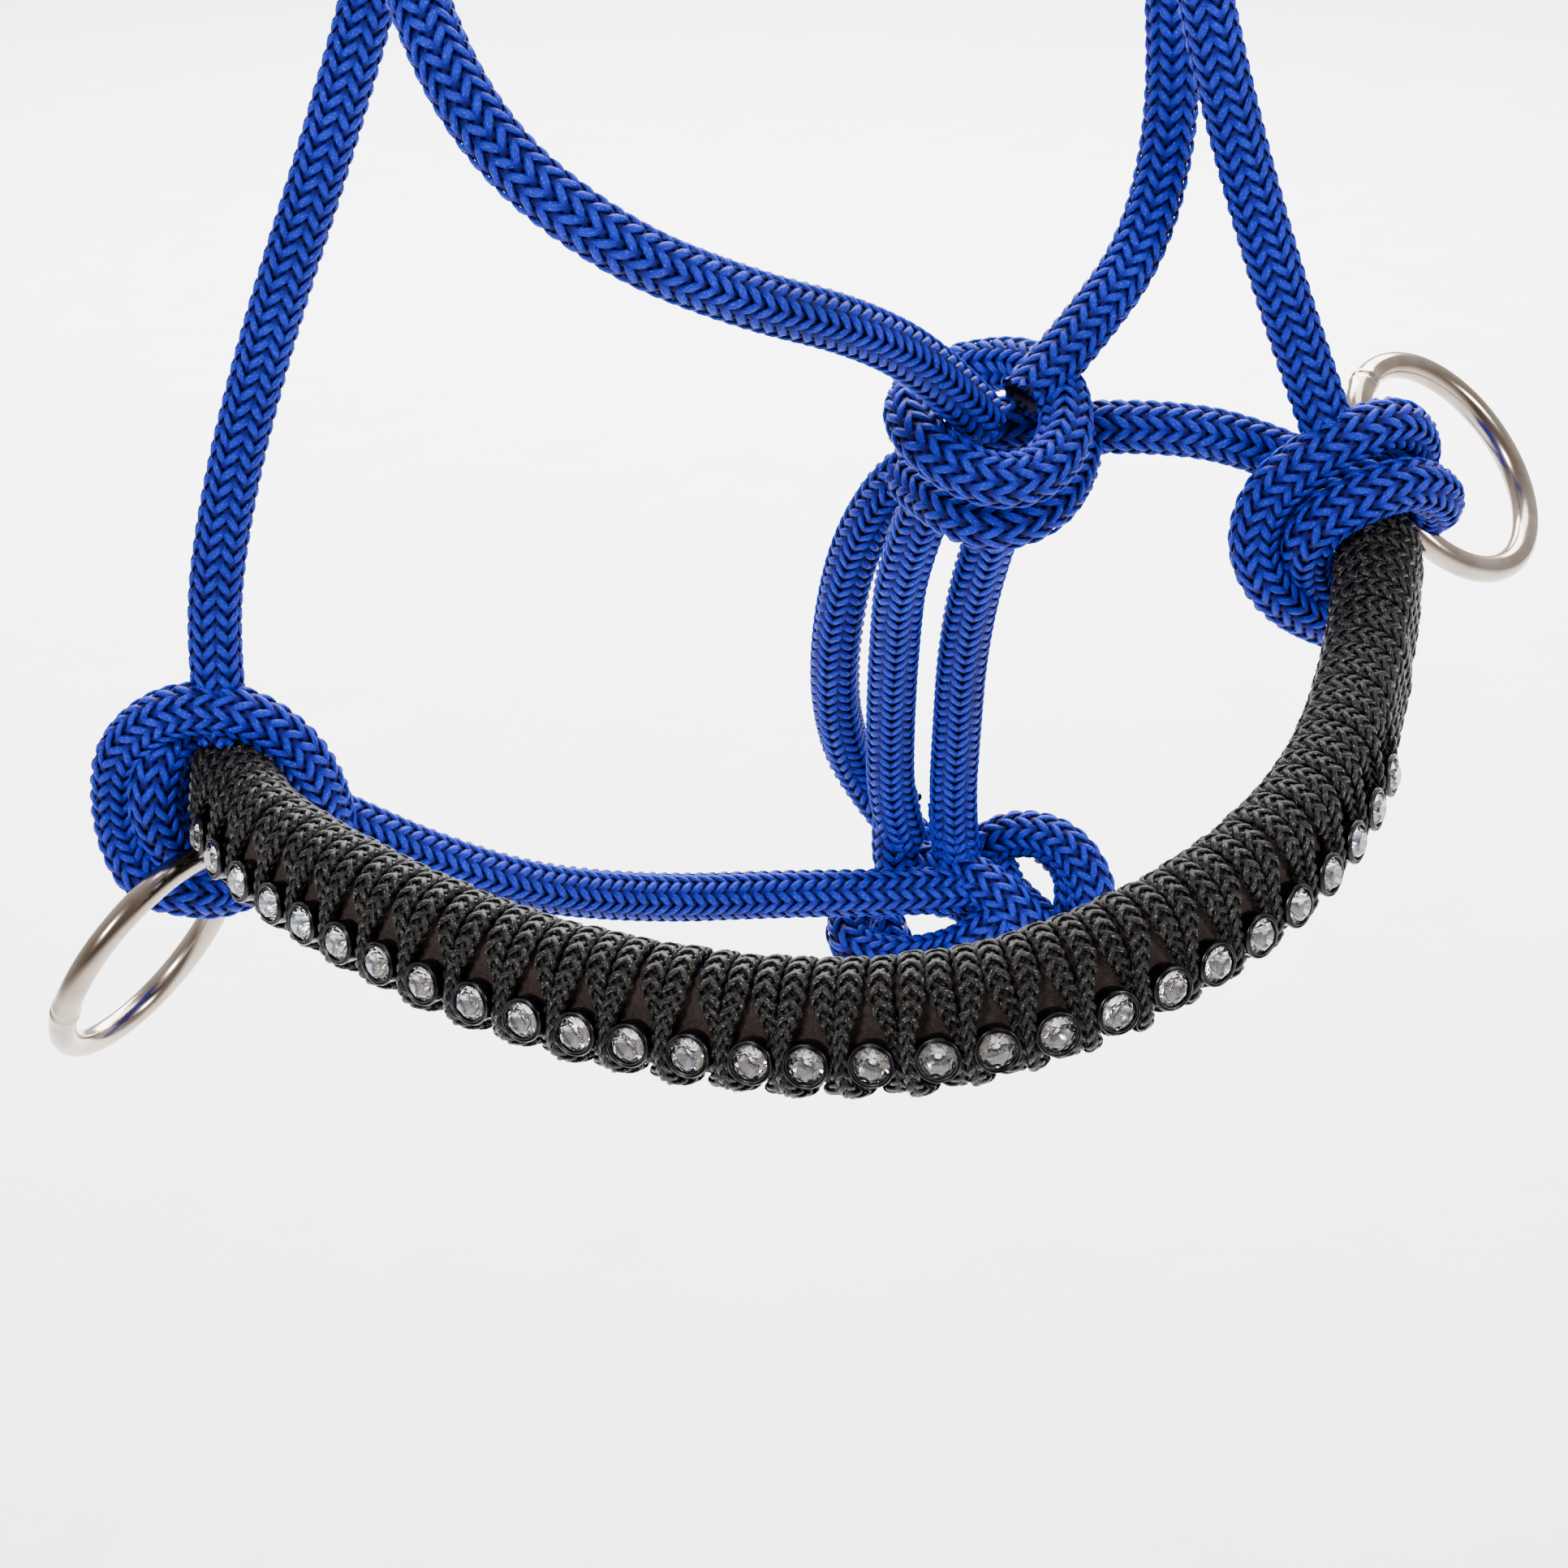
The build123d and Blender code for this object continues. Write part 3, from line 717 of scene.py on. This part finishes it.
# turns of the wound cord: centre along the band, and side of its pair (-1, 1) or 0 for a plain turn
PAIR_HALF = 0.00146  # from the middle of a pair to each of its turns
PAIR_TO_PLAIN = 0.0044  # from the middle of the last pair to the first plain turn
LEFT_PITCH, RIGHT_PITCH = 0.0029, 0.00285  # of the plain turns at the band's two ends
LEFT_MARGIN, RIGHT_MARGIN = 0.0005, 0.0006
turns = []
gaps = (seats[1:] + seats[:-1]) / 2
gaps = np.concatenate([[2 * seats[0] - gaps[0]], gaps, [2 * seats[-1] - gaps[-1]]])
plain = gaps[0] - PAIR_TO_PLAIN
while plain > LEFT_MARGIN:
    turns.insert(0, (plain, 0))
    plain -= LEFT_PITCH
for gap in gaps:
    turns.append((gap - PAIR_HALF, -1))
    turns.append((gap + PAIR_HALF, 1))
plain = gaps[-1] + PAIR_TO_PLAIN
while plain < band_run[-1] - RIGHT_MARGIN:
    turns.append((plain, 0))
    plain += RIGHT_PITCH
turns = np.array(turns)
wander = rng.normal(0, 1, (len(turns), 3))  # columns: along the band, off it, and one that isn't used


def eased(values):
    """Values clipped to 0 to 1, with a soft start and end."""
    values = np.clip(values, 0, 1)
    return values * values * (3 - 2 * values)


PER_TURN = 104  # points of the cord's line in one turn
CLOSE_REACH, CLOSE_FADE = 0.0019, 0.0052  # turns of a pair touch this near the crystal row, then part
CLOSE_SHIFT = 0.00098  # each turn of a pair moves this far towards the other
SQUEEZE = 0.00058  # off the cord's half width between two cups
STRAND_SQUEEZE = 0.00009  # off its strands' half width
CORD_STRAND = (0.00042, 0.00021, 0.00017)  # half width, half thickness and rise
STRAND_INSET = 0.00036  # from the cord's outside to the middle of its strands
CORD_CORE = (0.0008, 0.00028)
CORD_LEAN = 0.22  # radians that a turn of a pair rolls towards its cup
PAIR_STEP = 0.00042  # one turn of a pair rides over the other by this, each way
PAIR_LIFT = 0.0002
UNEVEN = 0.00012  # how far turns wander from their places


def wound_cord(first, last, name):
    """The cord from turn first to turn last, closing up between the cups on the band's front."""
    perimeter = 4 * WRAP_HALF_STRAIGHT + 2 * pi * WRAP_R
    tau = np.arange(0, (last - first) * PER_TURN + 1) / PER_TURN + first
    number = np.clip(np.floor(tau), 0, len(turns) - 1).astype(int)
    lengths = (tau - number - 0.5) * perimeter
    share = tau - 0.5
    left = np.clip(np.floor(share), 0, len(turns) - 1).astype(int)
    right = np.clip(left + 1, 0, len(turns) - 1)
    fraction = np.clip(share - left, 0, 1)
    blend = 0.8 * eased((fraction - 0.33) / 0.34) + 0.2 * fraction
    along = turns[left, 0] * (1 - blend) + turns[right, 0] * blend
    side = turns[number, 1]
    close = 1 - eased((np.abs(lengths + CRYSTAL_DROP) - CLOSE_REACH) / CLOSE_FADE)
    squeeze = close * np.abs(side)
    along = along - side * close * CLOSE_SHIFT
    fade = np.abs(np.sin(pi * (tau - number)))
    along = along + UNEVEN * fade * wander[number, 0]
    out, up, normal = slot_spot(lengths, WRAP_R)
    lift = PAIR_STEP * squeeze * side + UNEVEN * fade * wander[number, 1] + PAIR_LIFT * squeeze
    out = out + normal[:, 0] * lift
    up = up + normal[:, 1] * lift
    origin = on_band(along, band)
    outward = unit(on_band(along, band_out))
    upward = unit(on_band(along, band_up))
    points = origin + outward * out[:, None] + upward * up[:, None]
    facing = unit(outward * normal[:, :1] + upward * normal[:, 1:])
    tangent = unit(np.gradient(points, axis=0))
    facing = unit(facing - tangent * np.sum(facing * tangent, axis=1, keepdims=True))
    across = np.cross(tangent, facing)
    lean = CORD_LEAN * squeeze * side
    rolled = facing * np.cos(lean)[:, None] + across * np.sin(lean)[:, None]
    across = np.cross(tangent, rolled)
    strand = (CORD_STRAND[0] - STRAND_SQUEEZE * squeeze, *CORD_STRAND[1:])
    sizes = (CORD_HALF_WIDTH - SQUEEZE * squeeze - STRAND_INSET, CORD_HALF_THICKNESS - STRAND_INSET)
    strands = braid(
        points, across, rolled, sizes, strand, CORD_CARRIERS, CORD_LEAD, turn=pi / 2, flat=1.0
    )
    core = core_tube(points[::2], across[::2], rolled[::2], *CORD_CORE, 8)
    return plaited_piece(name, strands, core, (cord_material, cord_core_material))


cord_core_material, _, _ = shader("cord_core", Base_Color=(0.004, 0.004, 0.004, 1), Roughness=0.95)
WRAP_PIECES = 5
cuts = np.linspace(0, len(turns), WRAP_PIECES + 1).round().astype(int)
for i in range(WRAP_PIECES):
    wound = wound_cord(cuts[i], cuts[i + 1], f"wound_cord_{i + 1}")
    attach(wound, "halter")
    if i == 0:
        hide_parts("noseband_wrap")

CORE_STEP = 0.0008
for name, cad_node, offset in (
    ("noseband_upper_braid", "noseband_upper_rope", CORE_R),
    ("noseband_lower_braid", "noseband_lower_rope", -CORE_R),
):
    core = rope_piece(name, band[::2] + band_up[::2] * offset, step=CORE_STEP, radius=CORE_R + 0.0001)
    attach(core, "halter")
    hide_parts(cad_node)


STRIP_HALF_WIDTH = 0.0066
STRIP_OUTER_R, STRIP_INNER_R = 0.0034, 0.003
STRIP_END = 0.001  # it stops this far from the band's ends
STRIP_GRAIN = 0.000025  # roughness of its surface


def suede_strip():
    """The strip under the cord, bent over the front of the two ropes."""
    places = np.linspace(STRIP_END, band_run[-1] - STRIP_END, 420)
    lengths = np.linspace(-STRIP_HALF_WIDTH, STRIP_HALF_WIDTH, 22)
    layers = []
    for radius, order in ((STRIP_OUTER_R, lengths), (STRIP_INNER_R, lengths[::-1])):
        out, up, _ = slot_spot(order, radius)
        layers.append(np.stack([out, up], axis=1))
    section = np.concatenate(layers)
    origin = on_band(places, band)
    outward = unit(on_band(places, band_out))
    upward = unit(on_band(places, band_up))
    vertices = (
        origin[:, None, :]
        + outward[:, None, :] * section[None, :, 0, None]
        + upward[:, None, :] * section[None, :, 1, None]
    )
    vertices = vertices + rng.normal(0, STRIP_GRAIN, vertices.shape)
    piece = new_mesh("suede_strip", vertices.reshape(-1, 3), tube_faces(len(places), len(section)))
    piece.data.materials.append(suede_material)
    return piece


strip = suede_strip()
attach(strip, "halter")
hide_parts("noseband_strip")


# ---- crystals and their cups ----
def lathed(profile, sides, place):
    """A turned shape at a seat from (radius, height) pairs, height from the band's centre line."""
    origin, outward, upward, along = place
    angle = np.arange(sides) * 2 * pi / sides
    profile = np.asarray(profile)
    ring = np.cos(angle)[None, :, None] * along + np.sin(angle)[None, :, None] * upward
    spots = origin + outward * profile[:, 1][:, None, None] + ring * profile[:, 0][:, None, None]
    return spots.reshape(-1, 3), tube_faces(len(profile), sides)


CUP_PROFILE = [
    (0.0004, 0.00345), (0.0018, 0.0034), (0.00225, 0.0035), (0.00235, 0.0037), (0.00235, 0.0049),
    (0.0023, 0.0052), (0.00242, 0.0054), (0.00246, 0.0056), (0.0024, 0.00578), (0.00228, 0.00584),
    (0.0022, 0.00576), (0.00217, 0.00566), (0.00213, 0.00578), (0.00206, 0.00592), (0.00197, 0.00592),
    (0.00191, 0.0058), (0.0019, 0.0055), (0.00188, 0.0052), (0.0006, 0.0040), (0.0001, 0.00395),
]
FOIL_PROFILE = [(0.00189, 0.0053), (0.0003, 0.0041)]
CUP_SIDES, FOIL_SIDES = 40, 16


# Radius and height of a stone's rings of corners, and the height of its pointed back.
TABLE = (0.00108, 0.0064)
STAR = (0.0015, 0.00606)
GIRDLE = (0.00189, 0.00552)
LOWER_GIRDLE = (0.00189, 0.0054)
BACK = 0.0042


def cut_stone(place, spin):
    """A foil-backed brilliant: eight-sided table, star, kite and girdle facets, pointed back."""
    origin, outward, upward, along = place

    def corner(radius, height, angle):
        angle = angle + spin
        return origin + outward * height + (along * np.cos(angle) + upward * np.sin(angle)) * radius

    eighth = pi / 4
    points = [corner(*TABLE, k * eighth) for k in range(8)]
    points += [corner(*STAR, (k + 0.5) * eighth) for k in range(8)]
    points += [corner(*GIRDLE, k * eighth / 2) for k in range(16)]
    points += [corner(*LOWER_GIRDLE, k * eighth / 2) for k in range(16)]
    points += [corner(0, BACK, 0), corner(0, TABLE[1], 0)]
    faces = []
    for k in range(8):
        n = (k + 1) % 8
        faces.append((k, n, 49))
        faces.append((k, 8 + k, n))
        faces.append((n, 8 + k, 16 + 2 * n))
        faces.append((n, 16 + 2 * n, 8 + n))
        faces.append((8 + k, 16 + 2 * k, 16 + 2 * k + 1))
        faces.append((8 + k, 16 + 2 * k + 1, 16 + 2 * n))
    for k in range(16):
        n = (k + 1) % 16
        faces.append((16 + k, 32 + k, 32 + n))
        faces.append((16 + k, 32 + n, 16 + n))
        faces.append((32 + k, 48, 32 + n))
    return np.array(points), np.array(faces)


def stacked(name, parts, smooth=True, rise=None):
    """Several vertex and face arrays as one object."""
    vertices, faces, first = [], [], 0
    for points, quads in parts:
        vertices.append(points)
        faces.append(quads + first)
        first += len(points)
    return new_mesh(name, np.concatenate(vertices), np.concatenate(faces), smooth=smooth, rise=rise)


cups, gems, foils = [], [], []
for seat in seats:
    upward = unit(on_band(seat, band_up))
    place = (
        on_band(seat, band) - upward * CRYSTAL_DROP,
        unit(on_band(seat, band_out)),
        upward,
        unit(on_band(seat, band_along)),
    )
    cups.append(lathed(CUP_PROFILE, CUP_SIDES, place))
    gems.append(cut_stone(place, rng.uniform(0, pi / 4)))
    foils.append(lathed(FOIL_PROFILE, FOIL_SIDES, place))

cup_piece = stacked("crystal_cup_rims", cups)
cup_piece.data.materials.append(cup_material)
# Painted reflections: each foil facet gets a random tone of white, grey, pink or blue, for the stone's fire and
# its darker facets.
foil_painted_reflection = np.repeat(rng.uniform(0, 1, len(foils) * FOIL_SIDES), 2)
foil_piece = stacked("crystal_foils", foils, smooth=False, rise=foil_painted_reflection)
foil_material, foil_tree, foil_surface = shader("foil", Metallic=1.0, Roughness=0.12)
facet = node(foil_tree, "ShaderNodeAttribute", attribute_name="rise").outputs["Fac"]
# Colours of the painted reflections on the foil facets.
FOIL_PAINTED_REFLECTIONS = [
    (0.0, (0.95, 0.95, 0.98)), (0.3, (0.6, 0.6, 0.64)), (0.45, (0.95, 0.78, 0.8)), (0.6, (0.9, 0.92, 0.96)),
    (0.75, (0.65, 0.75, 0.95)), (0.9, (0.98, 0.98, 0.98)), (1.0, (0.5, 0.5, 0.52)),
]
foil_tree.links.new(ramp(foil_tree, facet, FOIL_PAINTED_REFLECTIONS), foil_surface.inputs["Base Color"])
foil_piece.data.materials.append(foil_material)
gem_piece = stacked("cut_crystals", gems, smooth=False)
gem_material, gem_tree, gem_surface = shader(
    "cut_crystal", Base_Color=(0.97, 0.98, 1, 1), IOR=1.56, Transmission_Weight=1.0
)
gem_where = node(gem_tree, "ShaderNodeTexCoord").outputs["Object"]
smears = node(gem_tree, "ShaderNodeTexNoise", {"Vector": gem_where, "Scale": 700.0}).outputs[0]
smears = node(gem_tree, "ShaderNodeMapRange", {"Value": smears, "To Min": 0.0, "To Max": 0.06}).outputs[0]
gem_tree.links.new(smears, gem_surface.inputs["Roughness"])
gem_piece.data.materials.append(gem_material)
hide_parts("crystal_cups")
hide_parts("crystals")
for piece, slot in ((cup_piece, "cup_metal"), (foil_piece, "crystal"), (gem_piece, "crystal")):
    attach(piece, "halter")


# ---- tie rings ----
BEAD, SEAM = 0.00026, 0.00038  # the weld stands out from the wire, and its seam is let in
BEAD_REACH, SEAM_REACH, LUMP_REACH = 0.075, 0.02, 0.06  # radians round the ring
WAVER = 0.00002  # of the wire's thickness


def wire_ring(name, mount, joint, weld):
    """A round ring of wire with a butt-welded seam, from its mount's place and its joint's axis."""
    centre = np.array(mount["pos_m"])
    normal = unit(np.array(mount["axis"]))
    eye = np.array(joint["pos_m"]) - centre
    first = unit(eye - normal * (eye @ normal))
    second = np.cross(normal, first)
    steps, sides = 288, 28
    angle = np.arange(steps) * 2 * pi / steps
    away = (angle - radians(weld) + pi) % (2 * pi) - pi
    bead = BEAD * np.exp(-((away / BEAD_REACH) ** 2)) - SEAM * np.exp(-((away / SEAM_REACH) ** 2))
    wire = WIRE_R + bead + WAVER * np.sin(3 * angle + 1)
    turn = np.arange(sides) * 2 * pi / sides
    radial = np.cos(angle)[:, None] * first + np.sin(angle)[:, None] * second
    lump = 1 + 0.05 * np.exp(-((away[:, None] / LUMP_REACH) ** 2)) * np.sin(3 * turn[None, :] + 0.8)
    ring = np.cos(turn)[None, :, None] * radial[:, None, :] + np.sin(turn)[None, :, None] * normal
    points = centre + radial[:, None, :] * RING_R + ring * (wire[:, None] * lump)[..., None]
    faces = tube_faces(steps + 1, sides) % (steps * sides)
    piece = new_mesh(name, points.reshape(-1, 3), faces)
    piece.data.materials.append(ring_material)
    return piece


mounts = {m["name"]: m for m in frame["record"]["mounts"]}
joints = {j["name"]: j for j in frame["joints"]}
for side, weld in (("left", 120), ("right", 60)):  # weld: degrees round the ring from its eye
    ring = wire_ring(f"{side}_welded_ring", mounts[f"{side}_tie_ring"], joints[f"{side}_ring_swing"], weld)
    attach(ring, f"{side}_ring")
    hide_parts(f"{side}_ring")

# ---- floor, light ----
FLOOR_Z = cad_low.z - 0.35
FLOOR_HALF = 20
floor_corners = [(x * FLOOR_HALF, y * FLOOR_HALF, FLOOR_Z) for x, y in ((-1, -1), (1, -1), (1, 1), (-1, 1))]
floor = new_mesh("floor", floor_corners, [(0, 1, 2, 3)])
floor.data.materials.append(floor_material)


def soft_light(name, place, towards, size, power, colour):
    """A round area light of size metres across and power watts."""
    lamp = bpy.data.lights.new(name, "AREA")
    lamp.shape = "DISK"
    lamp.size = size
    lamp.energy = power
    lamp.color = colour
    holder = bpy.data.objects.new(name, lamp)
    holder.location = place
    aim = Vector(towards) - Vector(place)
    holder.rotation_euler = aim.to_track_quat("-Z", "Y").to_euler()
    bpy.context.scene.collection.objects.link(holder)


NOSE = (0, 0, -0.36)  # the height of the noseband
soft_light("key", (-0.5, -0.8, 0.35), NOSE, 0.3, 15, (1, 0.99, 0.97))
soft_light("side", (0.8, -0.45, 0.05), NOSE, 0.3, 7, (0.97, 0.98, 1))
soft_light("top", (0.1, 0.4, 0.6), NOSE, 0.6, 7, (1, 1, 1))
# It lights only the floor behind the halter, which the photo shows nearly white.
soft_light("backdrop", (0, 1.9, 0.7), (0, 1.9, -1), 2.4, 260, (1, 1, 1))

# Bright behind the halter and dim brown behind the camera, so that the rope isn't washed out.
SKY_STRENGTH = 0.85
SKY_TINTS = [(0.0, (0.2, 0.17, 0.14)), (0.45, (0.5, 0.46, 0.43)), (1.0, (1, 1, 1))]
world = bpy.data.worlds.new("studio")
world.use_nodes = True
bpy.context.scene.world = world
sky = world.node_tree
ahead = node(sky, "ShaderNodeSeparateXYZ", {0: node(sky, "ShaderNodeTexCoord").outputs["Generated"]})
shade = node(sky, "ShaderNodeMapRange", {"Value": ahead.outputs["Y"], "From Min": -1.0, "From Max": 0.6})
tone = ramp(sky, shade.outputs[0], SKY_TINTS)
backdrop = sky.nodes["Background"]
sky.links.new(tone, backdrop.inputs["Color"])
backdrop.inputs["Strength"].default_value = SKY_STRENGTH
